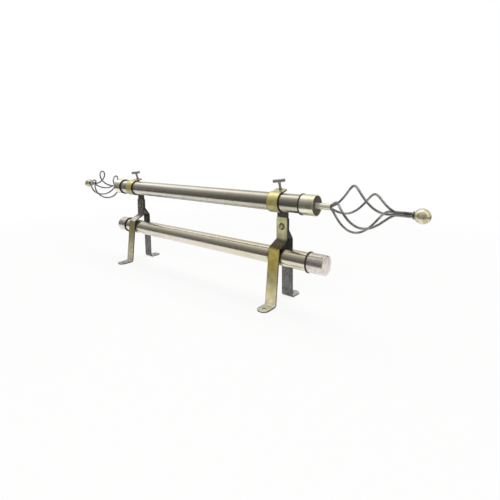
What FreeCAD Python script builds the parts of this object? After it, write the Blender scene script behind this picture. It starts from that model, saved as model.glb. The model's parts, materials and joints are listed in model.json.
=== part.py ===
import FreeCAD, Part
import os
from math import atan2, cos, hypot, pi, radians, sin, sqrt, tan

# Double curtain pole: two tubes held one above the other by two brackets bent from steel strap.
# X runs along the poles. The bracket feet stand on the XY plane, and Y = 0 is midway between them.
# In use the feet are screwed to a wall and +Y points up. All sizes are in millimetres.

Vector = FreeCAD.Vector

# Poles
pole_diameter = 28.0
pole_wall = 1.0
pole_clearance = 0.15
front_pole_y = -5.5
front_pole_z = 158.8
rear_pole_z = 73.3

# Strap that every bracket arm is bent from
strap_width = 20.0
strap_thickness = 2.0
bend_radius = 3.0
strap_corner = 3.5

# Distance between the brackets, and the gap from each strap's edge to the mouth ring on the pole's end
bracket_spacing = 370.8
left_collar_gap = 23.3
right_collar_gap = 33.7
left_cap_gap = 17.9
right_cap_gap = 43.1

# Feet
foot_length = 27.6
foot_corner = 9.4
foot_hole_diameter = 5.5
foot_hole_inset = 11.0
front_heel_y = -23.0
rear_heel_y = 24.3

# Arms
front_knee_y = -13.4
front_knee_z = 88.0
front_neck_z = 98.0
rear_knee_y = 22.6
rear_knee_z = 98.0
rear_neck_z = 113.0
arm_top_z = 133.3

# Hook strap
hook_tail_z = 107.6
ear_run = 11.2
ear_angle = 18.0
ear_bend_radius = 6.0
ear_lead = 2.4

# Screw and nut that clamp the two arms and the hook strap
arm_screw_z = 118.8
arm_screw_diameter = 5.0
arm_hole_clearance = 0.1
arm_screw_head_diameter = 9.0
arm_screw_head_height = 2.6
arm_screw_slot_width = 1.1
arm_screw_slot_depth = 1.2
arm_screw_slot_turn = 62.0
screw_end_chamfer = 0.6
nut_across_flats = 8.0
nut_height = 4.0
nut_chamfer = 0.5
thread_past_nut = 1.4

# Thumb screw
thumb_diameter = 5.0
thumb_fit = 0.05
thumb_tip_diameter = 2.6
thumb_tip_gap = 0.3
thumb_hole_from_end = 4.6
thumb_thread_above = 4.0
thumb_neck_diameter = 3.8
thumb_flare_diameter = 6.4
thumb_bar_height = 15.6
thumb_bar_length = 19.4
thumb_bar_diameter = 5.4
thumb_bar_waist = 4.4
thumb_bar_turn = 24.0

# Finial collar, plug and neck, measured from the end of the front pole
sleeve_fit = 0.05
collar_diameter = 30.4
collar_overhang = 3.7
collar_length = 21.6
edge_chamfer = 0.5
plug_flange = 2.5
plug_spigot = 12.0
neck_diameter = 9.0
neck_end = 24.8

# Cage of four twisted wires
wire_count = 4
wire_diameter = 3.2
wire_spacing_gap = 0.2
wire_side_count = 10
wire_stretch_count = 14
cage_length = 86.0
cage_radius = 32.6
cage_lean_exponent = 0.87
cage_fullness_exponent = 1.5
cage_twist_angle = 177.0
left_cage_start_angle = 82.0
right_cage_start_angle = 117.5
bundle_length = 27.2

# Ball at the tip of the cage
tip_sleeve_length = 2.4
tip_sleeve_wall = 0.75
ball_diameter = 18.8
ball_socket_depth = 5.0
ball_socket_clearance = 0.1

# Rear pole caps
cap_diameter = 29.6
cap_length = 25.7
cap_end_wall = 1.5
cap_chamfer = 1.0

# Rubber ring round the pole at the mouth of every collar and cap
mouth_ring_wall = 1.95
mouth_ring_width = 2.0

pole_radius = pole_diameter / 2
half_strap = strap_thickness / 2
seat_radius = pole_radius + pole_clearance + half_strap
hook_neck_y = front_pole_y + seat_radius
front_arm_y = hook_neck_y - strap_thickness
rear_arm_y = hook_neck_y + strap_thickness

# Each pole reaches past its brackets by half a strap, the gap, the ring and what the sleeve covers.
collar_grip = mouth_ring_width + collar_length - collar_overhang
cap_grip = mouth_ring_width + cap_length - cap_end_wall
front_reach_left = strap_width / 2 + left_collar_gap + collar_grip
front_reach_right = strap_width / 2 + right_collar_gap + collar_grip
rear_reach_left = strap_width / 2 + left_cap_gap + cap_grip
rear_reach_right = strap_width / 2 + right_cap_gap + cap_grip

# X = 0 is the middle of the front pole.
front_pole_length = front_reach_left + bracket_spacing + front_reach_right
front_pole_ends = {"left": -front_pole_length / 2, "right": front_pole_length / 2}
bracket_places = {
    "left": front_pole_ends["left"] + front_reach_left,
    "right": front_pole_ends["right"] - front_reach_right,
}
rear_pole_ends = {
    "left": bracket_places["left"] - rear_reach_left,
    "right": bracket_places["right"] + rear_reach_right,
}

# The rear pole rests on the inner face of the sloping front arm.
leg_slope = (front_knee_y - front_heel_y) / (front_knee_z - half_strap)
leg_y_at_pole = front_heel_y + leg_slope * (rear_pole_z - half_strap)
rear_pole_y = leg_y_at_pole + seat_radius * hypot(1.0, leg_slope)

# The thumb screw stands square to the ear, through the middle of its flat.
ear_start_y = front_pole_y + ear_lead
ear_start_z = front_pole_z + seat_radius
ear_end_y = ear_start_y + ear_run * cos(radians(ear_angle))
ear_end_z = ear_start_z + ear_run * sin(radians(ear_angle))
thumb_y = ear_end_y - thumb_hole_from_end * cos(radians(ear_angle))
thumb_z = ear_end_z - thumb_hole_from_end * sin(radians(ear_angle))

# The wires lie side by side in a square bundle.
bundle_offset = (wire_diameter + wire_spacing_gap) / sqrt(2)
bundle_radius = bundle_offset + wire_diameter / 2
cage_end = neck_end + cage_length
wire_end = cage_end + bundle_length
tip_sleeve_radius = bundle_radius + ball_socket_clearance + tip_sleeve_wall
ball_seat = wire_end - ball_socket_depth
ball_centre = ball_seat + sqrt((ball_diameter / 2) ** 2 - tip_sleeve_radius ** 2)


# Outline edges of one side of a bent strap, offset to the left of its middle line.
def offset_side(points, radii, offset):
    edges = []
    start = None
    for index, corner in enumerate(points):
        before = points[max(index - 1, 0)]
        after = points[min(index + 1, len(points) - 1)]
        if index == 0 or index == len(points) - 1:
            run = (after - before).normalize()
            left = Vector(0, -run.z, run.y)
            end = corner + left * offset
        else:
            run_in = (corner - before).normalize()
            run_out = (after - corner).normalize()
            turn = atan2(run_in.y * run_out.z - run_in.z * run_out.y, run_in.dot(run_out))
            side = 1 if turn > 0 else -1
            radius = radii[index - 1]
            centre = corner - run_in * (radius * tan(abs(turn) / 2))
            centre += Vector(0, -run_in.z, run_in.y) * (side * radius)
            reach = radius - side * offset
            end = centre + Vector(0, run_in.z, -run_in.y) * (side * reach)
            arc_mid = centre + (corner - centre).normalize() * reach
            arc_end = centre + Vector(0, run_out.z, -run_out.y) * (side * reach)
        if start is not None and (end - start).Length > 1e-6:
            edges.append(Part.makeLine(start, end))
        start = end
        if 0 < index < len(points) - 1:
            edges.append(Part.Arc(end, arc_mid, arc_end).toShape())
            start = arc_end
    return edges


# A strap bent along the points of its middle line, each inner corner with its own inside radius.
def bent_strap(outline, inside_radii):
    points = [Vector(0, y, z) for y, z in outline]
    radii = [radius + half_strap for radius in inside_radii]
    left = offset_side(points, radii, half_strap)
    right = offset_side(points, radii, -half_strap)
    first_end = Part.makeLine(left[0].Vertexes[0].Point, right[0].Vertexes[0].Point)
    last_end = Part.makeLine(left[-1].Vertexes[-1].Point, right[-1].Vertexes[-1].Point)
    edges = left + right + [first_end, last_end]
    face = Part.Face(Part.Wire(Part.__sortEdges__(edges)))
    strap = face.extrude(Vector(strap_width, 0, 0))
    strap.translate(Vector(-strap_width / 2, 0, 0))
    return strap


# Round the two corners of a strap end, seen along its thickness.
def round_strap_end(strap, end, radius):
    place = Vector(0, *end)
    corners = []
    for edge in strap.Edges:
        middle = edge.CenterOfMass
        offset = hypot(middle.y - place.y, middle.z - place.z)
        if abs(edge.Length - strap_thickness) < 1e-4 and offset < 1e-4:
            corners.append(edge)
    return strap.makeFillet(radius, corners)


# Round hole through a strap at a point on its middle line.
def strap_hole(y, z, axis, diameter):
    drill = Vector(axis).normalize()
    start = Vector(0, y, z) - drill * (3 * strap_thickness)
    return Part.makeCylinder(diameter / 2, 6 * strap_thickness, start, drill)


# Solid of revolution about the X axis from (x, radius) points.
def turned(outline):
    points = [Vector(x, radius, 0) for x, radius in outline]
    face = Part.Face(Part.makePolygon(points + points[:1]))
    return face.revolve(Vector(0, 0, 0), Vector(1, 0, 0), 360)


# Open sleeve with both outer edges chamfered.
def sleeve(start, end, radius, bore):
    return turned([
        (start, bore), (start, radius - edge_chamfer), (start + edge_chamfer, radius),
        (end - edge_chamfer, radius), (end, radius - edge_chamfer), (end, bore),
    ])


# One arm of a bracket: a foot, a leg up to the knee, and a slope into the upright neck.
# The foot points along -Y with a direction of -1 and along +Y with a direction of 1.
def bracket_arm(direction, heel_y, knee, neck):
    foot_tip_y = heel_y + direction * foot_length
    foot_tip = (foot_tip_y, half_strap)
    top = (neck[0], arm_top_z)
    outline = [foot_tip, (heel_y, half_strap), knee, neck, top]
    arm = bent_strap(outline, [bend_radius] * 3)
    arm = round_strap_end(arm, foot_tip, foot_corner)
    arm = round_strap_end(arm, top, strap_corner)
    hole_y = foot_tip_y - direction * foot_hole_inset
    arm = arm.cut(strap_hole(hole_y, half_strap, (0, 0, 1), foot_hole_diameter))
    return arm.cut(arm_screw_hole(neck[0]))


def arm_screw_hole(y):
    return strap_hole(y, arm_screw_z, (0, 1, 0), arm_screw_diameter + 2 * arm_hole_clearance)


# The hook runs up the neck, under and round the front pole, and ends in the flared ear.
def hook_strap():
    tail = (hook_neck_y, hook_tail_z)
    ear_end = (ear_end_y, ear_end_z)
    outline = [
        tail,
        (hook_neck_y, front_pole_z - seat_radius),
        (front_pole_y - seat_radius, front_pole_z - seat_radius),
        (front_pole_y - seat_radius, front_pole_z + seat_radius),
        (ear_start_y, ear_start_z),
        ear_end,
    ]
    saddle = seat_radius - half_strap
    hook = bent_strap(outline, [bend_radius, saddle, saddle, ear_bend_radius])
    hook = round_strap_end(hook, tail, strap_corner)
    hook = round_strap_end(hook, ear_end, strap_corner)
    hook = hook.cut(arm_screw_hole(hook_neck_y))
    square = (0, -sin(radians(ear_angle)), cos(radians(ear_angle)))
    return hook.cut(strap_hole(thumb_y, thumb_z, square, thumb_diameter + 2 * thumb_fit))


# Slotted pan-head screw along +Y. Its head bears on the front face of the front arm.
def arm_screw():
    seat = front_arm_y - half_strap
    end = rear_arm_y + half_strap + nut_height + thread_past_nut - seat
    head = arm_screw_head_diameter / 2
    shank = arm_screw_diameter / 2
    crown = arm_screw_head_height
    screw = turned([
        (-crown, 0), (-crown, 0.62 * head), (-0.8 * crown, 0.86 * head), (-0.45 * crown, head),
        (0, head), (0, shank), (end - screw_end_chamfer, shank), (end, shank - screw_end_chamfer), (end, 0),
    ])
    slot = Part.makeBox(arm_screw_slot_depth, 2 * head, arm_screw_slot_width)
    slot.translate(Vector(-crown, -head, -arm_screw_slot_width / 2))
    screw = screw.cut(slot)
    screw.rotate(Vector(0, 0, 0), Vector(1, 0, 0), arm_screw_slot_turn)
    screw.rotate(Vector(0, 0, 0), Vector(0, 0, 1), 90)
    screw.translate(Vector(0, seat, arm_screw_z))
    return screw


# Hexagon nut on the back of the rear arm, the corners of its outer face chamfered.
def arm_nut():
    corner_radius = nut_across_flats / 2 / cos(pi / 6)
    corners = [
        Vector(0, corner_radius * cos(k * pi / 3), corner_radius * sin(k * pi / 3)) for k in range(7)
    ]
    nut = Part.Face(Part.makePolygon(corners)).extrude(Vector(nut_height, 0, 0))
    edge = corner_radius - 2 * nut_chamfer
    blank = turned([
        (0, 0), (0, corner_radius), (nut_height - nut_chamfer, corner_radius), (nut_height, edge),
        (nut_height, 0),
    ])
    hole_radius = arm_screw_diameter / 2 + sleeve_fit
    bore = Part.makeCylinder(hole_radius, 3 * nut_height, Vector(-nut_height, 0, 0), Vector(1, 0, 0))
    nut = nut.common(blank).cut(bore)
    nut.rotate(Vector(0, 0, 0), Vector(0, 0, 1), 90)
    nut.translate(Vector(0, rear_arm_y + half_strap, arm_screw_z))
    return nut


# Distance down the thumb screw's axis at which a ring of this radius comes near the pole.
def reach_to_pole(radius):
    lean = radians(ear_angle)
    offset_y = thumb_y - front_pole_y
    offset_z = thumb_z - front_pole_z
    across = offset_y * cos(lean) + offset_z * sin(lean) - radius
    along = offset_z * cos(lean) - offset_y * sin(lean)
    return along - sqrt((pole_radius + thumb_tip_gap) ** 2 - across ** 2)


# Thumb screw: cone tip, stem through the ear, a neck that flares upward and a waisted cross bar.
def thumb_screw():
    tip_radius = thumb_tip_diameter / 2
    stem_radius = thumb_diameter / 2
    neck_radius = thumb_neck_diameter / 2
    flare_radius = thumb_flare_diameter / 2
    flare_start = (thumb_thread_above + thumb_bar_height) / 2
    stem = turned([
        (-reach_to_pole(tip_radius), 0),
        (-reach_to_pole(tip_radius), tip_radius),
        (-reach_to_pole(stem_radius), stem_radius),
        (thumb_thread_above, stem_radius),
        (thumb_thread_above + stem_radius - neck_radius, neck_radius),
        (flare_start, neck_radius),
        (thumb_bar_height, flare_radius),
        (thumb_bar_height, 0),
    ])
    stem.rotate(Vector(0, 0, 0), Vector(0, 1, 0), -90)
    bar_radius = thumb_bar_diameter / 2
    half_bar = thumb_bar_length / 2
    bar = turned([
        (-half_bar, 0), (-half_bar, 0.6 * bar_radius), (bar_radius / 2 - half_bar, bar_radius),
        (0, thumb_bar_waist / 2), (half_bar - bar_radius / 2, bar_radius), (half_bar, 0.6 * bar_radius),
        (half_bar, 0),
    ])
    bar.rotate(Vector(0, 0, 0), Vector(0, 0, 1), thumb_bar_turn)
    bar.translate(Vector(0, 0, thumb_bar_height))
    screw = stem.fuse(bar)
    screw.rotate(Vector(0, 0, 0), Vector(1, 0, 0), ear_angle)
    screw.translate(Vector(0, thumb_y, thumb_z))
    return screw


# Tube along X between its two ends.
def pole(ends, y, z):
    start = Vector(ends["left"], y, z)
    length = ends["right"] - ends["left"]
    axis = Vector(1, 0, 0)
    tube = Part.makeCylinder(pole_radius, length, start, axis)
    return tube.cut(Part.makeCylinder(pole_radius - pole_wall, length, start, axis))


# Collar over the end of the front pole.
def finial_collar():
    inner_end = collar_overhang - collar_length
    return sleeve(inner_end, collar_overhang, collar_diameter / 2, pole_radius + sleeve_fit)


# Rubber ring against the inner end of a collar or cap.
def mouth_ring(sleeve_inner_end):
    start = sleeve_inner_end - mouth_ring_width
    bore_radius = pole_radius + sleeve_fit
    return sleeve(start, sleeve_inner_end, bore_radius + mouth_ring_wall, bore_radius)


# Plug in the end of the front pole. Its flange closes the tube inside the collar.
def finial_plug():
    bore = neck_diameter / 2 + sleeve_fit
    spigot = pole_radius - pole_wall - sleeve_fit
    return turned([
        (-plug_spigot, bore), (-plug_spigot, spigot), (0, spigot), (0, pole_radius),
        (plug_flange, pole_radius), (plug_flange, bore),
    ])


def finial_neck():
    radius = neck_diameter / 2
    return turned([
        (-plug_spigot, 0), (-plug_spigot, radius), (neck_end - edge_chamfer, radius),
        (neck_end, radius - edge_chamfer), (neck_end, 0),
    ])


# Distance of a wire's middle line from the finial's axis, at a share of the cage's length.
def cage_bulge(share):
    shape = abs(sin(pi * share ** cage_lean_exponent)) ** cage_fullness_exponent
    return bundle_offset + (cage_radius - bundle_offset) * shape


# Point on a wire's middle line: it swells out and turns round the axis, then runs straight.
def wire_point(start_angle, x):
    share = min(max((x - neck_end) / cage_length, 0), 1)
    radius = cage_bulge(share)
    angle = radians(start_angle + cage_twist_angle * share)
    return Vector(x, radius * cos(angle), radius * sin(angle))


# One wire of the cage, lofted through round sections that stand square to its middle line.
def cage_wire(start_angle):
    stretch = cage_length / wire_stretch_count
    places = [neck_end + stretch * index for index in range(wire_stretch_count + 1)]
    places.append(wire_end - ball_socket_clearance)
    step = stretch / 4
    sections = []
    for x in places:
        centre = wire_point(start_angle, x)
        along = wire_point(start_angle, x + step) - wire_point(start_angle, x - step)
        if x <= neck_end or x >= cage_end:
            along = Vector(1, 0, 0)
        out = Vector(0, centre.y, centre.z)
        across = along.cross(out).normalize()
        out = across.cross(along).normalize()
        corners = []
        for side in range(wire_side_count + 1):
            turn = 2 * pi * side / wire_side_count
            corners.append(centre + (out * cos(turn) + across * sin(turn)) * (wire_diameter / 2))
        sections.append(Part.makePolygon(corners))
    return Part.makeLoft(sections, True, True)


def tip_sleeve():
    bore = bundle_radius + ball_socket_clearance
    start = ball_seat - tip_sleeve_length
    return turned([(start, bore), (start, tip_sleeve_radius), (ball_seat, tip_sleeve_radius),
                   (ball_seat, bore)])


# Ball with a flat seat for the sleeve and a socket that takes the bundle of wires.
def finial_ball():
    axis = Vector(1, 0, 0)
    ball = Part.makeSphere(ball_diameter / 2, Vector(ball_centre, 0, 0), axis)
    flat = Part.makeCylinder(ball_diameter, ball_diameter, Vector(ball_seat - ball_diameter, 0, 0), axis)
    bore_radius = bundle_radius + ball_socket_clearance
    depth = ball_socket_depth + ball_socket_clearance
    socket = Part.makeCylinder(bore_radius, depth, Vector(ball_seat, 0, 0), axis)
    return ball.cut(flat).cut(socket)


# Closed cap over an end of the rear pole.
def rear_pole_cap():
    inner_end = cap_end_wall - cap_length
    radius = cap_diameter / 2
    bore = pole_radius + sleeve_fit
    return turned([
        (inner_end, bore), (inner_end, radius - edge_chamfer), (inner_end + edge_chamfer, radius),
        (cap_end_wall - cap_chamfer, radius), (cap_end_wall, radius - cap_chamfer), (cap_end_wall, 0),
        (0, 0), (0, bore),
    ])


# Put a piece made along +X from the origin onto one end of a pole, turned round for the left end.
def on_pole_end(shape, side, ends, y, z):
    if side == "left":
        shape.rotate(Vector(0, 0, 0), Vector(0, 0, 1), 180)
    shape.translate(Vector(ends[side], y, z))
    return shape


pieces = {
    "front_pole": pole(front_pole_ends, front_pole_y, front_pole_z),
    "rear_pole": pole(rear_pole_ends, rear_pole_y, rear_pole_z),
}

for side, place in bracket_places.items():
    bracket = {
        "front_arm": bracket_arm(
            -1, front_heel_y, (front_knee_y, front_knee_z), (front_arm_y, front_neck_z)),
        "rear_arm": bracket_arm(
            1, rear_heel_y, (rear_knee_y, rear_knee_z), (rear_arm_y, rear_neck_z)),
        "hook_strap": hook_strap(),
        "arm_screw": arm_screw(),
        "arm_nut": arm_nut(),
        "thumb_screw": thumb_screw(),
    }
    for name, shape in bracket.items():
        shape.translate(Vector(place, 0, 0))
        pieces[side + "_" + name] = shape

start_angles = {"left": left_cage_start_angle, "right": right_cage_start_angle}
for side, start_angle in start_angles.items():
    finial = {
        "collar_ring": mouth_ring(collar_overhang - collar_length),
        "finial_collar": finial_collar(),
        "finial_plug": finial_plug(),
        "finial_neck": finial_neck(),
        "finial_sleeve": tip_sleeve(),
        "finial_ball": finial_ball(),
    }
    for index in range(wire_count):
        finial["cage_wire_" + str(index + 1)] = cage_wire(start_angle + index * 360 / wire_count)
    for name, shape in finial.items():
        pieces[side + "_" + name] = on_pole_end(shape, side, front_pole_ends, front_pole_y, front_pole_z)
    cap_end = {"cap_ring": mouth_ring(cap_end_wall - cap_length), "rear_pole_cap": rear_pole_cap()}
    for name, shape in cap_end.items():
        pieces[side + "_" + name] = on_pole_end(shape, side, rear_pole_ends, rear_pole_y, rear_pole_z)

os.makedirs("parts", exist_ok=True)
for name, shape in pieces.items():
    shape.exportStep("parts/" + name + ".step")
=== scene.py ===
import json
from math import atan2, cos, hypot, pi, radians, sin, sqrt

import bmesh
import bpy
from mathutils import Matrix, Vector


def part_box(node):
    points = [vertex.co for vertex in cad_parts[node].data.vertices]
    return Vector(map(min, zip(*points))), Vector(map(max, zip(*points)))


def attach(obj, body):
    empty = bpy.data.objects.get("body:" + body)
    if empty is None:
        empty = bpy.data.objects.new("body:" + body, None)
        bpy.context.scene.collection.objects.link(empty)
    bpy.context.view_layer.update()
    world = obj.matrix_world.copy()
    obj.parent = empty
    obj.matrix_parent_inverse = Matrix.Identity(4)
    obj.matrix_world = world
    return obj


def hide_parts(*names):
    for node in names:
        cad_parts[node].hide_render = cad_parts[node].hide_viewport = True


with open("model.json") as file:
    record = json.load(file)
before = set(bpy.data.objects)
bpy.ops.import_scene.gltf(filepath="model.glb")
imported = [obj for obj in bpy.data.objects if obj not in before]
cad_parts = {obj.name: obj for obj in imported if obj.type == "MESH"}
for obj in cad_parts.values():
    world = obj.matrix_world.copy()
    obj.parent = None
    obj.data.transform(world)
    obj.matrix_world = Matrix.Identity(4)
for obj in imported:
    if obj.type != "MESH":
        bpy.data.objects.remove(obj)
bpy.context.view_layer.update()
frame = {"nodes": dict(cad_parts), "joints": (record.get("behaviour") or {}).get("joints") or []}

# Double curtain pole: two tubes on bent strap brackets, with twisted wire cages on the front tube.
# Sizes in the dictionaries are in millimetres, and mm turns them into metres. The stage is in metres.
mm = 0.001
cadNodes = frame["nodes"]
scene = bpy.context.scene
facings = {"left": -1, "right": 1}
print("frame loaded:", len(cadNodes), "nodes")


def nodeMiddle(node):
    low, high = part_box(node)
    return (low + high) / 2


# Half of a node's length along X, in millimetres
def halfLength(node):
    low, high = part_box(node)
    return (high.x - low.x) / 2 / mm


# The point on a pole's axis that is level with the outer end of a node
def endPoint(node, pole, facing):
    low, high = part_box(node)
    axis = nodeMiddle(pole)
    return Vector((high.x if facing > 0 else low.x, axis.y, axis.z))


# Helpers for node trees

def feed(tree, socket, value):
    if isinstance(value, bpy.types.NodeSocket):
        tree.links.new(value, socket)
    else:
        socket.default_value = value


# Add a node, set its properties, and feed its inputs by name or number
def addNode(tree, kind, inputs=None, **properties):
    node = tree.nodes.new(kind)
    for key, value in properties.items():
        setattr(node, key, value)
    for key, value in (inputs or {}).items():
        feed(tree, node.inputs[key], value)
    return node


def mathNode(tree, operation, *values):
    return addNode(tree, "ShaderNodeMath", dict(enumerate(values)), operation=operation).outputs[0]


def times(tree, first, second):
    return mathNode(tree, "MULTIPLY", first, second)


def vectorMath(tree, operation, *values):
    return addNode(tree, "ShaderNodeVectorMath", dict(enumerate(values)), operation=operation).outputs


def objectPlace(tree):
    return addNode(tree, "ShaderNodeTexCoord").outputs["Object"]


def splitVector(tree, vector):
    return addNode(tree, "ShaderNodeSeparateXYZ", {0: vector}).outputs


def smoothMask(tree, value, low, high):
    inputs = {"Value": value, "From Min": low, "From Max": high}
    return addNode(tree, "ShaderNodeMapRange", inputs, interpolation_type="SMOOTHSTEP").outputs["Result"]


def fadingMask(tree, value, low, high):
    return mathNode(tree, "SUBTRACT", 1.0, smoothMask(tree, value, low, high))


def mixColour(tree, mask, first, second, blend="MIX"):
    inputs = {0: mask, 6: first, 7: second}
    return addNode(tree, "ShaderNodeMix", inputs, data_type="RGBA", blend_type=blend).outputs[2]


def wrinkledNoise(tree, vector, size, detail, rough=0.55):
    inputs = {"Vector": vector, "Scale": size, "Detail": detail, "Roughness": rough}
    return addNode(tree, "ShaderNodeTexNoise", inputs).outputs["Fac"]


# Colour ramp from (share, colour) stops, the first at 0 and the last at 1
def colourRamp(tree, value, stops):
    ramp = addNode(tree, "ShaderNodeValToRGB", {0: value})
    elements = ramp.color_ramp.elements
    for share, colour in stops[1:-1]:
        elements.new(share)
    for element, (share, colour) in zip(elements, stops):
        element.color = (*colour, 1)
    return ramp.outputs["Color"]


# Start a node group. An input is given by its default value, or by its kind where it needs none.
def newGroup(treeKind, name, inputs, outputs):
    tree = bpy.data.node_groups.new(name, treeKind)
    kinds = {float: "Float", int: "Int", tuple: "Vector"}
    for key, value in inputs.items():
        kind = kinds.get(type(value), value)
        socket = tree.interface.new_socket(name=key, in_out="INPUT", socket_type="NodeSocket" + kind)
        if kind != value:
            socket.default_value = value
    for key, kind in outputs.items():
        tree.interface.new_socket(name=key, in_out="OUTPUT", socket_type="NodeSocket" + kind)
    given = addNode(tree, "NodeGroupInput").outputs
    result = addNode(tree, "NodeGroupOutput").inputs
    return tree, given, result


def markGroup(name, inputs, *masks):
    inputs = {"Coordinates": "Vector", **inputs}
    return newGroup("ShaderNodeTree", name, inputs, dict.fromkeys(masks, "Float"))


# Groups for the marks on the metals. Noise scales are per metre, and the ranges are where a mark begins
# and is full.

markSizes = {
    "smudgeRange": (0.38, 0.64), "hairs": ((0.5, 9), (-0.9, 7), (1.7, 11)), "hairScale": 60,
    "hairWidth": 0.012, "wornScale": 90, "wornRange": (0.56, 0.70), "pitScale": 900,
    "pitRange": (0.70, 0.78), "rubScale": 260, "rubBreak": 0.5, "rubRange": (1.02, 1.30),
    "stainScale": 420, "stainBreak": 0.0012, "stainRange": (0.0003, 0.0016),
    "soilScale": 300, "soilBreak": 0.8, "soilRange": (0.35, 1.3),
    "borderScale": 240, "borderBreak": 0.0007, "borderRange": (0.0090, 0.0101),
    "tintScale": 120, "tintBreak": 0.004,
}


# Handling marks that every metal here shares: broad smudges, hair scratches and small pits
def buildHandlingMarks():
    inputs = {"Scratch density": 0.5, "Smudge scale": 34.0}
    tree, given, result = markGroup("handlingMarks", inputs, "Smudges", "Scratches", "Pits")
    place, scale = given["Coordinates"], markSizes["hairScale"]
    broad = wrinkledNoise(tree, place, given["Smudge scale"], 4)
    tree.links.new(smoothMask(tree, broad, *markSizes["smudgeRange"]), result["Smudges"])
    joined = None
    for turn, stretch in markSizes["hairs"]:
        turned = addNode(tree, "ShaderNodeMapping", {
            "Vector": place, "Rotation": (turn * 0.6, turn, turn * 1.4),
            "Scale": (scale, scale * stretch, scale * stretch),
        }).outputs[0]
        line = wrinkledNoise(tree, turned, 1.0, 1.5, 0.4)
        away = mathNode(tree, "ABSOLUTE", mathNode(tree, "SUBTRACT", line, 0.5))
        hair = fadingMask(tree, away, 0.0, markSizes["hairWidth"])
        joined = mathNode(tree, "MAXIMUM", joined, hair) if joined else hair
    patches = wrinkledNoise(tree, place, markSizes["wornScale"], 3)
    worn = times(tree, joined, smoothMask(tree, patches, *markSizes["wornRange"]))
    tree.links.new(times(tree, worn, given["Scratch density"]), result["Scratches"])
    grains = wrinkledNoise(tree, place, markSizes["pitScale"], 2)
    tree.links.new(smoothMask(tree, grains, *markSizes["pitRange"]), result["Pits"])
    return tree


# Lines left by the die or the brush, along the axis with the smallest scale
def buildDrawnLines():
    tree, given, result = markGroup("drawnLines", {"Along": (6, 1500, 1500)}, "Lines")
    scaled = vectorMath(tree, "MULTIPLY", given["Coordinates"], given["Along"])[0]
    tree.links.new(wrinkledNoise(tree, scaled, 1.0, 3, 0.6), result["Lines"])
    return tree


# Thin worn rim where the two long edges of a strap, or the rims of a turned piece, are rubbed bright
def buildEdgeRub():
    tree, given, result = markGroup("edgeRub", {"Edge": "Float", "Amount": 0.6}, "Rub")
    broken = wrinkledNoise(tree, given["Coordinates"], markSizes["rubScale"], 4)
    reach = mathNode(tree, "MULTIPLY_ADD", broken, markSizes["rubBreak"], given["Edge"])
    rub = smoothMask(tree, reach, *markSizes["rubRange"])
    tree.links.new(times(tree, rub, given["Amount"]), result["Rub"])
    return tree


# Dark ring round a screw head, measured across the strap's face
def buildScrewStain():
    tree, given, result = markGroup("screwStain", {"Centre": "Vector", "Radius": 0.0051}, "Stain")
    offset = vectorMath(tree, "SUBTRACT", given["Coordinates"], given["Centre"])[0]
    flat = vectorMath(tree, "MULTIPLY", offset, (1, 0, 1))[0]
    away = vectorMath(tree, "LENGTH", flat)["Value"]
    broken = wrinkledNoise(tree, given["Coordinates"], markSizes["stainScale"], 3)
    ragged = mathNode(tree, "MULTIPLY_ADD", broken, markSizes["stainBreak"], away)
    gap = mathNode(tree, "SUBTRACT", ragged, given["Radius"])
    tree.links.new(fadingMask(tree, gap, *markSizes["stainRange"]), result["Stain"])
    return tree


# Painted shade: a dark band on a tube beside what clamps it, standing for the strap's contact shadow and its
# dark reflection in the tube, fading out along X
def buildBandSoil():
    inputs = {"Centre X": "Float", "Half width": 0.010, "Reach": 0.004}
    tree, given, result = markGroup("bandSoil", inputs, "Soil")
    x = splitVector(tree, given["Coordinates"])["X"]
    away = mathNode(tree, "ABSOLUTE", mathNode(tree, "SUBTRACT", x, given["Centre X"]))
    past = mathNode(tree, "DIVIDE", mathNode(tree, "SUBTRACT", away, given["Half width"]), given["Reach"])
    broken = wrinkledNoise(tree, given["Coordinates"], markSizes["soilScale"], 3)
    ragged = mathNode(tree, "MULTIPLY_ADD", broken, markSizes["soilBreak"], past)
    tree.links.new(fadingMask(tree, ragged, *markSizes["soilRange"]), result["Soil"])
    return tree


# Thin dark line just inside the two long edges of the straps
def buildBorderDirt():
    inputs = {side + " X": nodeMiddle(side + "_front_arm").x for side in facings}
    tree, given, result = markGroup("borderDirt", inputs, "Dirt")
    x = splitVector(tree, given["Coordinates"])["X"]
    gaps = [mathNode(tree, "ABSOLUTE", mathNode(tree, "SUBTRACT", x, given[name])) for name in inputs]
    nearest = mathNode(tree, "MINIMUM", *gaps)
    broken = wrinkledNoise(tree, given["Coordinates"], markSizes["borderScale"], 3)
    ragged = mathNode(tree, "MULTIPLY_ADD", broken, markSizes["borderBreak"], nearest)
    tree.links.new(smoothMask(tree, ragged, *markSizes["borderRange"]), result["Dirt"])
    return tree


sharedGroups = {
    "border": buildBorderDirt(),
    "soil": buildBandSoil(),
    "stain": buildScrewStain(),
    "marks": buildHandlingMarks(),
    "lines": buildDrawnLines(),
    "rub": buildEdgeRub(),
}


def placeGroup(tree, key, inputs):
    return addNode(tree, "ShaderNodeGroup", inputs, node_tree=sharedGroups[key]).outputs


# Colour that changes with height, with painted light and shade in it, from (height, colour) stops with
# heights in millimetres
def tintByHeight(tree, place, stops):
    broken, top = markSizes["tintBreak"], stops[-1][0]
    noise = wrinkledNoise(tree, place, markSizes["tintScale"], 3)
    ragged = mathNode(tree, "MULTIPLY_ADD", noise, broken, -broken / 2)
    height = mathNode(tree, "ADD", splitVector(tree, place)["Z"], ragged)
    shares = [(spot / top, colour) for spot, colour in stops]
    return colourRamp(tree, mathNode(tree, "DIVIDE", height, top * mm), shares)
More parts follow.
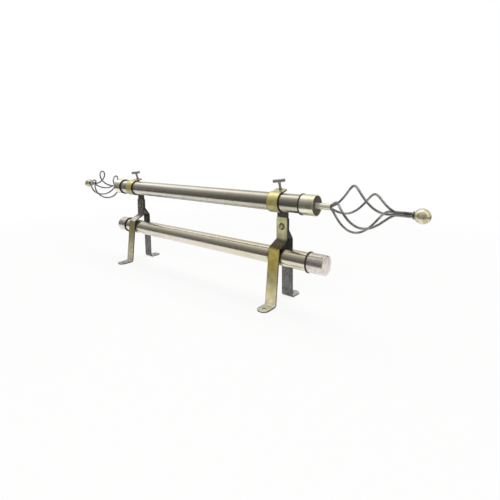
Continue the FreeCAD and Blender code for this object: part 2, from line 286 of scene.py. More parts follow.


# How dirt, wear and painted shade show on every metal: colours, strengths, added roughness and depths
wear = {
    "borderColour": (0.03, 0.027, 0.02, 1), "cutColour": (0.035, 0.032, 0.024, 1),
    "grimeColour": (0.03, 0.028, 0.024, 1), "cutCover": 0.85, "stainStrength": 0.85, "soilStrength": 0.8,
    "smudgeRoughness": 0.07, "lineRoughness": 0.06, "scrapeRoughness": 0.08, "grimeRoughness": 0.2,
    "coatRoughness": 0.12, "pitDepth": 0.25, "scratchDepth": 0.6, "bumpDistance": 0.00006,
}


# One recipe for all metals, each with its own colours, painted light and shade, gloss and wear
def metalFinish(name, look):
    material = bpy.data.materials.new(name)
    material.use_nodes = True
    tree = material.node_tree
    shader = tree.nodes["Principled BSDF"]
    place = objectPlace(tree)
    marks = placeGroup(tree, "marks", {
        "Coordinates": place, "Scratch density": look["scratches"], "Smudge scale": look["smudgeScale"],
    })
    lines = placeGroup(tree, "lines", {"Coordinates": place, "Along": look["grain"]})["Lines"]
    edge = addNode(tree, "ShaderNodeAttribute", attribute_name="edgeNearness").outputs["Fac"]
    rub = placeGroup(tree, "rub", {"Coordinates": place, "Edge": edge, "Amount": look["rub"]})["Rub"]
    bright = mathNode(tree, "MAXIMUM", rub, marks["Scratches"])

    # The colour by height holds painted light and shade; without it the metal's own colour is used.
    if look["tint"]:
        ground = tintByHeight(tree, place, look["tint"])
        deep = mixColour(tree, 1.0, ground, (*look["mottleShade"], 1), "MULTIPLY")
    else:
        ground = (*look["colour"], 1)
        deep = (*[colour * shade for colour, shade in zip(look["colour"], look["mottleShade"])], 1)
    toned = mixColour(tree, times(tree, marks["Smudges"], look["mottle"]), ground, deep)
    toned = mixColour(tree, times(tree, lines, look["lineTone"]), toned, deep)
    if look["borderDirt"]:
        border = placeGroup(tree, "border", {"Coordinates": place})["Dirt"]
        toned = mixColour(tree, times(tree, border, look["borderDirt"]), toned, wear["borderColour"])
    # Painted shade on the marked faces: strap side faces, foot outlines, screw slots and heads are darkened,
    # and show less wear.
    if look["cutEdge"]:
        cut = addNode(tree, "ShaderNodeAttribute", attribute_name="cutEdge").outputs["Fac"]
        toned = mixColour(tree, times(tree, cut, look["cutEdge"]), toned, wear["cutColour"])
        bright = times(tree, bright, mathNode(tree, "MULTIPLY_ADD", cut, -wear["cutCover"], 1.0))
    worn = mixColour(tree, bright, toned, (*look["bareColour"], 1))

    # Dark marks: pits as dirt, the dark ring round the screw head, and painted shade beside the brackets
    grime = times(tree, marks["Pits"], look["pits"])
    if look["stainCentre"]:
        stain = placeGroup(tree, "stain", {"Coordinates": place, "Centre": look["stainCentre"]})["Stain"]
        grime = mathNode(tree, "MAXIMUM", grime, times(tree, stain, wear["stainStrength"]))
    # Painted shade in bands on the poles beside the brackets
    for spot in look["soilPlaces"]:
        soil = placeGroup(tree, "soil", {
            "Coordinates": place, "Centre X": spot, "Reach": look["soilReach"],
        })["Soil"]
        grime = mathNode(tree, "MAXIMUM", grime, times(tree, soil, wear["soilStrength"]))
    tree.links.new(mixColour(tree, grime, worn, wear["grimeColour"]), shader.inputs["Base Color"])

    rough = look["roughness"]
    for mark, key in ((marks["Smudges"], "smudge"), (lines, "line"), (bright, "scrape"), (grime, "grime")):
        rough = mathNode(tree, "MULTIPLY_ADD", mark, wear[key + "Roughness"], rough)
    tree.links.new(rough, shader.inputs["Roughness"])
    shader.inputs["Metallic"].default_value = look["metallic"]
    shader.inputs["Coat Weight"].default_value = look["coat"]
    shader.inputs["Coat Roughness"].default_value = wear["coatRoughness"]
    height = times(tree, lines, look["lineDepth"])
    height = mathNode(tree, "MULTIPLY_ADD", marks["Pits"], -wear["pitDepth"], height)
    height = mathNode(tree, "MULTIPLY_ADD", marks["Scratches"], -wear["scratchDepth"], height)
    bump = addNode(tree, "ShaderNodeBump", {
        "Strength": look["bump"], "Distance": wear["bumpDistance"], "Height": height,
    })
    tree.links.new(bump.outputs["Normal"], shader.inputs["Normal"])
    return material


def metalLook(colour, mottleShade, bareColour, roughness, **changes):
    look = {
        "colour": colour, "mottleShade": mottleShade, "bareColour": bareColour,
        "roughness": roughness, "metallic": 1.0, "coat": 0.0, "grain": (6, 1500, 1500),
        "lineDepth": 0.5, "lineTone": 0.2, "bump": 0.35, "mottle": 0.4, "scratches": 0.5,
        "pits": 0.5, "rub": 0.6, "tint": None, "cutEdge": 0.0, "stainCentre": None,
        "smudgeScale": 34.0, "soilPlaces": (), "soilReach": 0.004, "borderDirt": 0.0,
    }
    look.update(changes)
    return look


# Tints of the straps by height: foot, leg, slope and neck, with painted light and shade in them. The feet are
# painted pale where they face up to the light and the slopes darker as painted shade. The band at the bend
# below the neck is painted shade on the right and a painted highlight on the left. The left bracket is
# painted browner and its neck dark, as shade.
armTints = {
    "right": [(0, (0.86, 0.85, 0.76)), (10, (0.88, 0.81, 0.54)), (22, (0.80, 0.72, 0.44)),
              (38, (0.46, 0.43, 0.24)), (56, (0.42, 0.34, 0.095)), (76, (0.54, 0.44, 0.115)),
              (86, (0.58, 0.51, 0.15)), (89, (0.075, 0.060, 0.025)), (97, (0.085, 0.07, 0.035)),
              (101, (0.55, 0.52, 0.38)), (112, (0.70, 0.69, 0.42)), (136, (0.74, 0.74, 0.46))],
    "left": [(0, (0.62, 0.62, 0.60)), (8, (0.50, 0.47, 0.37)), (16, (0.64, 0.58, 0.42)),
             (40, (0.46, 0.41, 0.24)), (60, (0.32, 0.28, 0.13)), (86, (0.24, 0.20, 0.11)),
             (89, (0.95, 0.94, 0.80)), (93, (0.92, 0.91, 0.80)), (97, (0.14, 0.135, 0.115)),
             (136, (0.13, 0.125, 0.115))],
}
# The hook strap: its neck painted dark as shade under the pole, and its ring lighter towards the top with a
# painted highlight.
hookTint = [(0, (0.13, 0.125, 0.12)), (137, (0.13, 0.125, 0.12)), (141, (0.10, 0.095, 0.085)),
            (144, (0.42, 0.40, 0.26)), (153, (0.50, 0.45, 0.19)), (163, (0.58, 0.52, 0.20)),
            (171, (0.92, 0.82, 0.36)), (176, (0.68, 0.66, 0.46)), (182, (0.58, 0.58, 0.48))]
# The rear strap: its foot painted pale where it faces up to the light, and darker higher up as painted shade
# under the poles.
rearTint = [(0, (0.66, 0.66, 0.65)), (2.4, (0.62, 0.62, 0.61)), (3.4, (0.13, 0.13, 0.13)),
            (24, (0.17, 0.17, 0.17)), (50, (0.155, 0.153, 0.155)), (80, (0.10, 0.095, 0.095)),
            (96, (0.05, 0.047, 0.045)), (140, (0.045, 0.043, 0.04))]
bracketSpots = [nodeMiddle(side + "_front_arm").x for side in facings]


def brassLook(tint, **changes):
    look = metalLook((0.50, 0.45, 0.20), (0.70, 0.67, 0.55), (0.80, 0.76, 0.52), 0.36, grain=(900, 30, 30),
                     metallic=0.35, lineTone=0.25, rub=0.25, mottle=0.75, tint=tint, cutEdge=0.95,
                     smudgeScale=130.0, borderDirt=0.7, scratches=0.2)
    look.update(changes)
    return look


finishes = {
    # The poles carry painted shade in bands beside the brackets.
    "frontPoleBronze": metalLook((0.59, 0.555, 0.475), (0.82, 0.80, 0.76), (0.74, 0.72, 0.66), 0.12,
                                 lineTone=0.35, soilPlaces=bracketSpots, soilReach=0.003),
    "rearPoleChampagne": metalLook((0.785, 0.73, 0.59), (0.84, 0.81, 0.74), (0.86, 0.82, 0.74), 0.12,
                                   lineTone=0.35, soilPlaces=bracketSpots, soilReach=0.006),
    "armBrassLeft": brassLook(armTints["left"], stainCentre=tuple(nodeMiddle("left_arm_screw"))),
    "armBrassRight": brassLook(armTints["right"], stainCentre=tuple(nodeMiddle("right_arm_screw"))),
    "hookBrass": brassLook(hookTint, metallic=0.6, roughness=0.28),
    "strapCharcoal": metalLook((0.10, 0.095, 0.10), (0.55, 0.54, 0.53), (0.42, 0.41, 0.42), 0.32,
                               grain=(900, 30, 30), metallic=0.6, rub=0.4, coat=0.2, tint=rearTint,
                               cutEdge=0.7, smudgeScale=150.0, mottle=0.85, borderDirt=0.5),
    "collarGold": metalLook((0.94, 0.90, 0.71), (0.80, 0.75, 0.58), (0.95, 0.93, 0.80), 0.19,
                            grain=(1500, 30, 30), lineDepth=0.7),
    "neckGold": metalLook((0.80, 0.79, 0.62), (0.74, 0.71, 0.56), (0.90, 0.88, 0.74), 0.20, metallic=0.6),
    "ballGold": metalLook((0.78, 0.74, 0.56), (0.66, 0.62, 0.44), (0.86, 0.83, 0.68), 0.18, metallic=0.8,
                          smudgeScale=150.0, mottle=0.8),
    "capChampagne": metalLook((0.87, 0.81, 0.77), (0.62, 0.58, 0.56), (0.92, 0.89, 0.86), 0.22,
                              grain=(1500, 30, 30), lineDepth=0.9, mottle=0.55, smudgeScale=260.0),
    "plugBlack": metalLook((0.075, 0.068, 0.074), (1.6, 1.5, 1.6), (0.13, 0.12, 0.13), 0.42,
                           metallic=0.0, lineDepth=0.1, rub=0.3, smudgeScale=200.0),
    "wireGunmetal": metalLook((0.38, 0.38, 0.375), (0.32, 0.32, 0.315), (0.64, 0.63, 0.61), 0.20,
                              grain=(40, 40, 40), rub=0.4, coat=0.2, mottle=0.8, smudgeScale=95.0,
                              metallic=0.85),
    "sleeveDark": metalLook((0.10, 0.09, 0.075), (0.6, 0.6, 0.6), (0.50, 0.46, 0.36), 0.30),
    "ringBlack": metalLook((0.018, 0.018, 0.017), (1.6, 1.6, 1.5), (0.06, 0.06, 0.06), 0.45,
                           metallic=0.0, lineDepth=0.1, rub=0.2),
    "screwSteel": metalLook((0.76, 0.73, 0.42), (0.62, 0.59, 0.44), (0.90, 0.87, 0.62), 0.26, metallic=0.55,
                            smudgeScale=300.0, cutEdge=0.9),
    "thumbSteel": metalLook((0.42, 0.42, 0.42), (0.55, 0.55, 0.56), (0.76, 0.76, 0.76), 0.24, metallic=0.8,
                            smudgeScale=160.0),
}
materials = {name: metalFinish(name, look) for name, look in finishes.items()}
print("finishes made:", len(materials))


# Pieces and meshes

def addObject(name, data):
    item = bpy.data.objects.new(name, data)
    scene.collection.objects.link(item)
    return item


def objectFrom(mesh, name):
    data = bpy.data.meshes.new(name)
    mesh.to_mesh(data)
    mesh.free()
    return addObject(name, data)


# The evaluated mesh of an object, as a new plain object
def bakedMesh(source, name):
    bpy.context.view_layer.update()
    graph = bpy.context.evaluated_depsgraph_get()
    mesh = bpy.data.meshes.new_from_object(source.evaluated_get(graph), depsgraph=graph)
    mesh.name = name
    baked = addObject(name, mesh)
    bpy.data.objects.remove(source)
    return baked


def smoothShade(mesh, angle=40):
    mesh.polygons.foreach_set("use_smooth", [True] * len(mesh.polygons))
    mesh.set_sharp_from_angle(angle=radians(angle))


def storeValues(piece, name, domain, values):
    layer = piece.data.attributes.new(name, "FLOAT", domain)
    layer.data.foreach_set("value", values)


# Turn a mesh about the origin, then move it
def placeMesh(piece, turn, spot):
    piece.data.transform(Matrix.Translation(spot) @ turn)


def joinPieces(name, pieces):
    with bpy.context.temp_override(active_object=pieces[0], selected_editable_objects=pieces):
        bpy.ops.object.join()
    pieces[0].name = name
    pieces[0].data.name = name
    return pieces[0]


# Give a finished piece its body, the nodes that it stands for, and its finish
def settle(piece, body, finish, *nodes):
    if not piece.data.materials:
        piece.data.materials.append(materials[finish])
    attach(piece, body)
    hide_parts(*nodes)


# Turned pieces: an outline of (x, radius, rounding) corners, spun about the X axis

turnSizes = {"roundSteps": 5, "segments": 96, "weld": 1e-7, "rimShare": 0.97, "nearShare": 0.93, "reach": 0.9}


def roundedOutline(corners):
    points = []
    steps = turnSizes["roundSteps"]
    for index, (x, radius, rounding) in enumerate(corners):
        if rounding <= 0 or index in (0, len(corners) - 1):
            points.append((x, radius))
            continue
        here = Vector((x, radius))
        back = (Vector(corners[index - 1][:2]) - here).normalized()
        ahead = (Vector(corners[index + 1][:2]) - here).normalized()
        for step in range(steps + 1):
            share = step / steps
            bend = back * rounding * (1 - share) ** 2 + ahead * rounding * share ** 2
            points.append(tuple(here + bend))
    return points


def turnedPiece(name, corners, middle, facing=1, segments=turnSizes["segments"], closed=False):
    outline = roundedOutline(corners)
    if closed:
        outline.append(outline[0])
    mesh = bmesh.new()
    ring = [mesh.verts.new((x * mm, radius * mm, 0)) for x, radius in outline]
    edges = [mesh.edges.new(pair) for pair in zip(ring, ring[1:])]
    bmesh.ops.spin(mesh, geom=ring + edges, cent=(0, 0, 0), axis=(1, 0, 0), angle=2 * pi,
                   steps=segments, use_merge=True, use_duplicate=False)
    bmesh.ops.remove_doubles(mesh, verts=mesh.verts, dist=turnSizes["weld"])
    if facing < 0:
        bmesh.ops.rotate(mesh, verts=mesh.verts, cent=(0, 0, 0), matrix=Matrix.Rotation(pi, 3, "Z"))
    bmesh.ops.translate(mesh, verts=mesh.verts, vec=middle)
    bmesh.ops.recalc_face_normals(mesh, faces=mesh.faces)
    piece = objectFrom(mesh, name)
    smoothShade(piece.data)
    markRims(piece, middle, corners)
    flatten = piece.modifiers.new("weighted", "WEIGHTED_NORMAL")
    flatten.keep_sharp = True
    return bakedMesh(piece, name)


# Store how near each point of a turned piece is to its outer rims, for the worn edges. The first corner
# of a tube or collar, half way along, counts as well, so those are a little rubbed all over.
def markRims(piece, middle, corners):
    widest = max(radius for x, radius, rounding in corners)
    rims = [x for x, radius, rounding in corners if radius > turnSizes["rimShare"] * widest]
    values = []
    for vertex in piece.data.vertices:
        offset = vertex.co - middle
        radius = hypot(offset.y, offset.z) / mm
        gap = min(abs(abs(offset.x) / mm - abs(x)) for x in rims)
        near = 1 - min(gap / turnSizes["reach"], 1)
        values.append(near if radius > turnSizes["nearShare"] * widest else 0)
    storeValues(piece, "edgeNearness", "POINT", values)


# Poles

poleSizes = {"outer": 14.0, "wall": 1.0, "lip": 0.35, "segments": 128}


def makePole(node, name, body, finish):
    outer, lip = poleSizes["outer"], poleSizes["lip"]
    inner, half = outer - poleSizes["wall"], halfLength(node)
    pole = turnedPiece(name, [
        (0, outer, 0), (half, outer, lip), (half, inner, lip), (0, inner, 0), (-half, inner, lip),
        (-half, outer, lip),
    ], nodeMiddle(node), 1, poleSizes["segments"], closed=True)
    settle(pole, body, finish, node)


makePole("front_pole", "frontPole", "frame", "frontPoleBronze")
makePole("rear_pole", "rearPole", "rear_pole_assembly", "rearPoleChampagne")
print("poles made")


# Black rubber rings at the mouths of the collars and caps

ringSizes = {"outer": 16.0, "bore": 14.05, "round": 0.9, "innerRound": 0.2}


def makeMouthRing(name, node, body):
    size = ringSizes
    half, outer, bore = halfLength(node), size["outer"], size["bore"]
    ring = turnedPiece(name, [
        (0, outer, 0), (half, outer, size["round"]), (half, bore, size["innerRound"]),
        (-half, bore, size["innerRound"]), (-half, outer, size["round"]),
    ], nodeMiddle(node), closed=True)
    settle(ring, body, "ringBlack", node)


# Collar, plug and neck of each finial, measured from the pole's end. The plug's face is a little hollow.

finialSizes = {
    "collarOuter": 15.2, "collarBore": 14.05, "collarInner": -17.9, "collarEnd": 3.7, "collarEdge": 0.6,
    "plugStart": -12.0, "plugFace": 2.5, "flangeStart": 0.02, "flangeRadius": 14.0, "spigotRadius": 12.95,
    "plugBore": 4.55, "hollow": ((0.2, 9.0, 0.6), (0.5, 5.4, 0.4)),
    "neckRadius": 4.5, "neckStart": -12.0, "neckEnd": 24.8, "neckSegments": 64,
}


def makeFinialMetal(side, facing):
    size = finialSizes
    root = endPoint("front_pole", "front_pole", facing)
    start, end = size["collarInner"], size["collarEnd"]
    outer, bore, edge = size["collarOuter"], size["collarBore"], size["collarEdge"]
    collar = turnedPiece(side + "Collar", [
        ((start + end) / 2, outer, 0), (end, outer, edge), (end, bore, 0.25), (start, bore, 0.1),
        (start, outer, edge),
    ], root, facing, closed=True)
    settle(collar, "frame", "collarGold", side + "_finial_collar")
    makeMouthRing(side + "CollarRing", side + "_collar_ring", "frame")

    start, face, bore = size["plugStart"], size["plugFace"], size["plugBore"]
    step, flange, spigot = size["flangeStart"], size["flangeRadius"], size["spigotRadius"]
    hollow = [(face - depth, radius, rounding) for depth, radius, rounding in size["hollow"]]
    plug = turnedPiece(side + "Plug", [
        (start / 2, bore, 0), (start, bore, 0.2), (start, spigot, 0.4), (step, spigot, 0),
        (step, flange, 0.1), (face, flange, 0.5), *hollow, (face, bore, 0),
    ], root, facing, closed=True)
    settle(plug, "frame", "plugBlack", side + "_finial_plug")

    start, end, radius = size["neckStart"], size["neckEnd"], size["neckRadius"]
    neck = turnedPiece(side + "Neck", [
        (start, 0, 0), (start, radius, 0.4), (end, radius, 0.6), (end, 0, 0),
    ], root, facing, size["neckSegments"])
    settle(neck, "frame", "neckGold", side + "_finial_neck")


for side, facing in facings.items():
    makeFinialMetal(side, facing)
print("collars, plugs and necks made")


# Ball tips, each with the small sleeve before it. Both are bored for the bundle of wires.

ballSizes = {
    "radius": 9.4, "bore": 4.1, "socketDepth": 5.1, "seatRadius": 4.85, "arcSteps": 28, "sleeveEdge": 0.25,
    "sleeveSegments": 64,
}


def makeBall(side, facing):
    size = ballSizes
    node = side + "_finial_ball"
    radius, bore, outer = size["radius"], size["bore"], size["seatRadius"]
    centre = endPoint(node, "front_pole", facing) - Vector((facing * radius * mm, 0, 0))
    seat = -sqrt(radius ** 2 - outer ** 2)
    floor = seat + size["socketDepth"]
    corners = [(floor, 0, 0), (floor, bore, 0), (seat, bore, 0.1)]
    startTurn = atan2(outer, seat)
    for step in range(size["arcSteps"] + 1):
        turn = startTurn * (1 - step / size["arcSteps"])
        corners.append((radius * cos(turn), radius * sin(turn), 0))
    settle(turnedPiece(side + "Ball", corners, centre, facing), "frame", "ballGold", node)

    node = side + "_finial_sleeve"
    half, edge = halfLength(node), size["sleeveEdge"]
    sleeve = turnedPiece(side + "Sleeve", [
        (0, outer, 0), (half, outer, edge), (half, bore, 0), (-half, bore, 0), (-half, outer, edge),
    ], nodeMiddle(node), facing, size["sleeveSegments"], closed=True)
    settle(sleeve, "frame", "sleeveDark", node)


for side, facing in facings.items():
    makeBall(side, facing)
print("ball tips made")


# Helpers for geometry trees

def geometryGroup(name, inputs):
    inputs = {"Geometry": "Geometry", **inputs, "Finish": "Material"}
    return newGroup("GeometryNodeTree", name, inputs, {"Geometry": "Geometry"})


def sweptMesh(tree, curve, profile):
    inputs = {"Curve": curve, "Profile Curve": profile, "Fill Caps": True}
    return addNode(tree, "GeometryNodeCurveToMesh", inputs).outputs[0]


def coatedMesh(tree, geometry, finish):
    real = addNode(tree, "GeometryNodeRealizeInstances", {0: geometry}).outputs[0]
    return addNode(tree, "GeometryNodeSetMaterial", {"Geometry": real, "Material": finish}).outputs[0]


# Run a geometry tree with its inputs by name, and return the plain mesh object
def runTree(tree, name, inputs):
    holder = addObject(name + "Source", bpy.data.meshes.new(name + "Source"))
    modifier = holder.modifiers.new("tree", "NODES")
    modifier.node_group = tree
    sockets = {item.name: item.identifier for item in tree.interface.items_tree
               if item.item_type == "SOCKET" and item.in_out == "INPUT"}
    for key, value in inputs.items():
        modifier[sockets[key]] = value
    return bakedMesh(holder, name)


# Twisted wire cages: a line is copied once for each wire, swollen and turned by a rule, then thickened

cageSizes = {
    "wires": 4, "wireDiameter": 3.2, "wireGap": 0.2, "wireSides": 20, "stations": 150, "length": 86.0,
    "radius": 32.6, "lean": 0.87, "fullness": 1.5, "twist": 177.0, "bundle": 27.1,
    "turns": {"left": 82.0, "right": 117.5},
}


def buildCageTree():
    numbers = ("Cage length", "Cage radius", "Bundle offset", "Bundle length", "Wire radius", "Lean",
               "Fullness", "Twist", "Start turn")
    inputs = {"Wires": 4, **dict.fromkeys(numbers, 1.0)}
    tree, given, result = geometryGroup("twistedCage", inputs)
    whole = mathNode(tree, "ADD", given["Cage length"], given["Bundle length"])
    end = addNode(tree, "ShaderNodeCombineXYZ", {"X": whole}).outputs[0]
    line = addNode(tree, "GeometryNodeCurvePrimitiveLine", {"End": end}).outputs[0]
    fine = addNode(tree, "GeometryNodeResampleCurve", {"Curve": line, "Count": cageSizes["stations"]})
    copies = addNode(tree, "GeometryNodeDuplicateElements", {
        "Geometry": fine.outputs[0], "Amount": given["Wires"],
    }, domain="SPLINE").outputs

    x = splitVector(tree, addNode(tree, "GeometryNodeInputPosition").outputs[0])["X"]
    reached = mathNode(tree, "DIVIDE", x, given["Cage length"])
    share = mathNode(tree, "MINIMUM", reached, 1.0)
    leaned = mathNode(tree, "POWER", mathNode(tree, "MAXIMUM", share, 0.0), given["Lean"])
    wave = mathNode(tree, "SINE", times(tree, leaned, pi))
    swell = mathNode(tree, "POWER", mathNode(tree, "MAXIMUM", wave, 0.0), given["Fullness"])
    spread = mathNode(tree, "SUBTRACT", given["Cage radius"], given["Bundle offset"])
    radius = mathNode(tree, "MULTIPLY_ADD", swell, spread, given["Bundle offset"])
    step = mathNode(tree, "DIVIDE", 2 * pi, given["Wires"])
    ownTurn = mathNode(tree, "MULTIPLY_ADD", copies["Duplicate Index"], step, given["Start turn"])
    turn = mathNode(tree, "MULTIPLY_ADD", share, given["Twist"], ownTurn)
    y = times(tree, radius, mathNode(tree, "COSINE", turn))
    z = times(tree, radius, mathNode(tree, "SINE", turn))
    spot = addNode(tree, "ShaderNodeCombineXYZ", {"X": x, "Y": y, "Z": z}).outputs[0]
    moved = addNode(tree, "GeometryNodeSetPosition", {"Geometry": copies["Geometry"], "Position": spot})

    section = addNode(tree, "GeometryNodeCurvePrimitiveCircle", {
        "Resolution": cageSizes["wireSides"], "Radius": given["Wire radius"],
    })
    thick = sweptMesh(tree, moved.outputs[0], section.outputs[0])
    smooth = addNode(tree, "GeometryNodeSetShadeSmooth", {"Geometry": thick}).outputs[0]
    tree.links.new(coatedMesh(tree, smooth, given["Finish"]), result[0])
    return tree


cageTree = buildCageTree()


def makeCage(side, facing):
    size = cageSizes
    offset = (size["wireDiameter"] + size["wireGap"]) / sqrt(2)
    cage = runTree(cageTree, side + "Cage", {
        "Wires": size["wires"], "Cage length": size["length"] * mm, "Cage radius": size["radius"] * mm,
        "Bundle offset": offset * mm, "Bundle length": size["bundle"] * mm,
        "Wire radius": size["wireDiameter"] / 2 * mm, "Lean": size["lean"], "Fullness": size["fullness"],
        "Twist": radians(size["twist"]), "Start turn": radians(size["turns"][side]),
        "Finish": materials["wireGunmetal"],
    })
    turn = Matrix.Identity(4) if facing > 0 else Matrix.Rotation(pi, 4, "Z")
    placeMesh(cage, turn, endPoint(side + "_finial_neck", "front_pole", facing))
    wires = [side + "_cage_wire_" + str(index + 1) for index in range(size["wires"])]
    settle(cage, "frame", "wireGunmetal", *wires)


for side, facing in facings.items():
    makeCage(side, facing)
print("wire cages made")


# Straps and nuts: copies of the solids, cleaned of their facets and given rounded edges

strapSizes = {
    "halfWidth": 10.0, "heelHeight": 3.0, "edge": 0.4, "nutEdge": 0.15, "edgeSteps": 3,
    "weld": 0.002, "flatAngle": 0.4, "smoothAngle": 60, "edgeAngle": 38, "edgeFalloff": 14,
    "cutNormal": 0.75, "cutFade": 0.2,
}


def edgedCopy(node, name, width):
    size = strapSizes
    mesh = bmesh.new()
    mesh.from_mesh(cadNodes[node].data)
    bmesh.ops.remove_doubles(mesh, verts=mesh.verts, dist=size["weld"] * mm)
    bmesh.ops.dissolve_limit(mesh, angle_limit=radians(size["flatAngle"]), verts=mesh.verts, edges=mesh.edges)
    piece = objectFrom(mesh, name)
    smoothShade(piece.data, size["smoothAngle"])
    bevel = piece.modifiers.new("edges", "BEVEL")
    bevel.width = width * mm
    bevel.segments = size["edgeSteps"]
    bevel.limit_method = "ANGLE"
    bevel.angle_limit = radians(size["edgeAngle"])
    bevel.harden_normals = True
    return bakedMesh(piece, name)


# Store how near each point is to the long edges, where a strap is rubbed bright
def markStrapEdges(piece, middle):
    values = []
    for vertex in piece.data.vertices:
        share = abs(vertex.co.x - middle) / (strapSizes["halfWidth"] * mm)
        values.append(min(share, 1) ** strapSizes["edgeFalloff"])
    storeValues(piece, "edgeNearness", "POINT", values)


# Store which faces get painted shade, for their dark reflections and shadow: a strap's long side faces, and
# the outline and heel of its foot
def markCutEdges(piece):
    values = []
    for face in piece.data.polygons:
        sideways = (abs(face.normal.x) - strapSizes["cutNormal"]) / strapSizes["cutFade"]
        onFoot = face.center.z < strapSizes["heelHeight"] * mm and face.normal.z < 0.5
        values.append(1.0 if onFoot else min(max(sideways, 0), 1))
    storeValues(piece, "cutEdge", "FACE", values)


def makeStraps(side):
    plan = {
        "FrontArm": ("_front_arm", "armBrass" + side.capitalize()),
        "HookStrap": ("_hook_strap", "hookBrass"),
        "RearArm": ("_rear_arm", "strapCharcoal"),
    }
    for name, (node, finish) in plan.items():
        strap = edgedCopy(side + node, side + name, strapSizes["edge"])
        markStrapEdges(strap, nodeMiddle(side + node).x)
        markCutEdges(strap)
        settle(strap, "frame", finish, side + node)
    nut = edgedCopy(side + "_arm_nut", side + "ArmNut", strapSizes["nutEdge"])
    settle(nut, "frame", "screwSteel", side + "_arm_nut")


for side in facings:
    makeStraps(side)
print("straps made")


# Screw threads: a ridge wound round a shank

threadSizes = {"coilSteps": 28, "ridgeSides": 4}


def buildThreadTree():
    inputs = dict.fromkeys(("Radius", "Length", "Pitch", "Ridge"), 1.0)
    tree, given, result = geometryGroup("screwThread", inputs)
    coil = addNode(tree, "GeometryNodeCurveSpiral", {
        "Resolution": threadSizes["coilSteps"],
        "Rotations": mathNode(tree, "DIVIDE", given["Length"], given["Pitch"]),
        "Start Radius": given["Radius"], "End Radius": given["Radius"], "Height": given["Length"],
    })
    upright = addNode(tree, "GeometryNodeSetCurveNormal", {"Curve": coil.outputs[0]}, mode="Z_UP")
    ridge = addNode(tree, "GeometryNodeCurvePrimitiveCircle", {
        "Resolution": threadSizes["ridgeSides"], "Radius": given["Ridge"],
    })
    wound = sweptMesh(tree, upright.outputs[0], ridge.outputs[0])
    tree.links.new(coatedMesh(tree, wound, given["Finish"]), result[0])
    return tree


threadTree = buildThreadTree()


def woundThread(name, size, length, finish):
    return runTree(threadTree, name, {
        "Radius": size["core"] * mm, "Length": length * mm, "Pitch": size["pitch"] * mm,
        "Ridge": (size["outer"] - size["core"]) * mm, "Finish": materials[finish],
    })


# Thumb screws: a waisted cross bar on a slim neck, and a threaded stem with a cone tip. Heights are
# from the hole in the ear, and the bar's outline is given for one half.

thumbSizes = {
    "lean": 18.0, "tip": 1.3, "tipEnd": -5.8, "coneEnd": -3.0, "core": 2.08, "outer": 2.5,
    "pitch": 0.8, "threadEnd": 4.0, "shoulder": 4.4, "neckStart": 5.2, "neck": 1.9, "flareStart": 9.8,
    "flareEnd": 15.2, "flare": 3.0, "barHeight": 15.6, "barTurn": 24.0,
    "barHalf": [(9.7, 0, 0), (9.7, 1.944, 0.5), (8.6, 2.7, 0.7), (6.3, 2.592, 1.5)],
    "barWaist": (0, 2.25, 3.0), "segments": 48,
}


def makeThumbScrew(side):
    size = thumbSizes
    joint = next(item for item in frame["joints"] if item["name"] == side + "_thumb_turn")
    hole = Vector(joint["pos_m"])
    origin = Vector()
    core, neck, segments = size["core"], size["neck"], size["segments"]
    stem = turnedPiece(side + "Stem", [
        (size["tipEnd"], 0, 0), (size["tipEnd"], size["tip"], 0.2), (size["coneEnd"], core, 0),
        (size["threadEnd"], core, 0.1), (size["shoulder"], size["outer"], 0.2),
        (size["neckStart"], neck, 0.5), (size["flareStart"], neck, 1.6),
        (size["flareEnd"], size["flare"], 0), (size["barHeight"], 0, 0),
    ], origin, segments=segments)
    placeMesh(stem, Matrix.Rotation(-pi / 2, 4, "Y"), origin)
    thread = woundThread(side + "Thread", size, size["threadEnd"] - size["coneEnd"], "thumbSteel")
    placeMesh(thread, Matrix.Identity(4), Vector((0, 0, size["coneEnd"] * mm)))
    half = size["barHalf"]
    mirrored = [(-x, radius, rounding) for x, radius, rounding in half]
    bar = turnedPiece(side + "Bar", mirrored + [size["barWaist"]] + half[::-1], origin, segments=segments)
    placeMesh(bar, Matrix.Rotation(radians(size["barTurn"]), 4, "Z"), Vector((0, 0, size["barHeight"] * mm)))
    for piece in (stem, bar):
        piece.data.materials.append(materials["thumbSteel"])
    screw = joinPieces(side + "ThumbScrew", [stem, thread, bar])
    placeMesh(screw, Matrix.Rotation(radians(size["lean"]), 4, "X"), hole)
    settle(screw, side + "_thumb", "thumbSteel", side + "_thumb_screw")


for side in facings:
    makeThumbScrew(side)
print("thumb screws made")


# Slotted screws through the three straps, with their threads past the nut. The head's outline is in
# shares of the crown's height and the head's radius, with a rounding in millimetres.

# The head's painted shade is set by headDirt and is left off its middle by cleanShare. The left head is
# shaded all over.
armScrewSizes = {
    "head": 4.5, "crown": 2.6, "dome": ((1, 0, 0), (0.94, 0.5, 0.8), (0.72, 0.85, 0.8), (0.3, 1, 0.5)),
    "slotWidth": 1.1, "slotDepth": 1.2, "slotTurn": 62.0, "cleanShare": {"left": 0.0, "right": 0.6},
    "headDirt": 0.8, "core": 2.1, "outer": 2.5, "pitch": 0.8, "threadStart": 7.0, "coreStart": 7.4,
    "threadLength": 3.9, "shankLength": 11.4, "segments": 64,
}


def cutSlot(screw, name, size):
    block = bmesh.new()
    spot = Matrix.Translation((-size["crown"] * mm, 0, 0))
    stretch = Matrix.Diagonal((2 * size["slotDepth"] * mm, 3 * size["head"] * mm, size["slotWidth"] * mm, 1))
    bmesh.ops.create_cube(block, size=1.0, matrix=spot @ stretch)
    cutter = objectFrom(block, "slotCutter")
    cut = screw.modifiers.new("slot", "BOOLEAN")
    cut.operation = "DIFFERENCE"
    cut.solver = "EXACT"
    cut.object = cutter
    slotted = bakedMesh(screw, name)
    bpy.data.objects.remove(cutter)
    return slotted


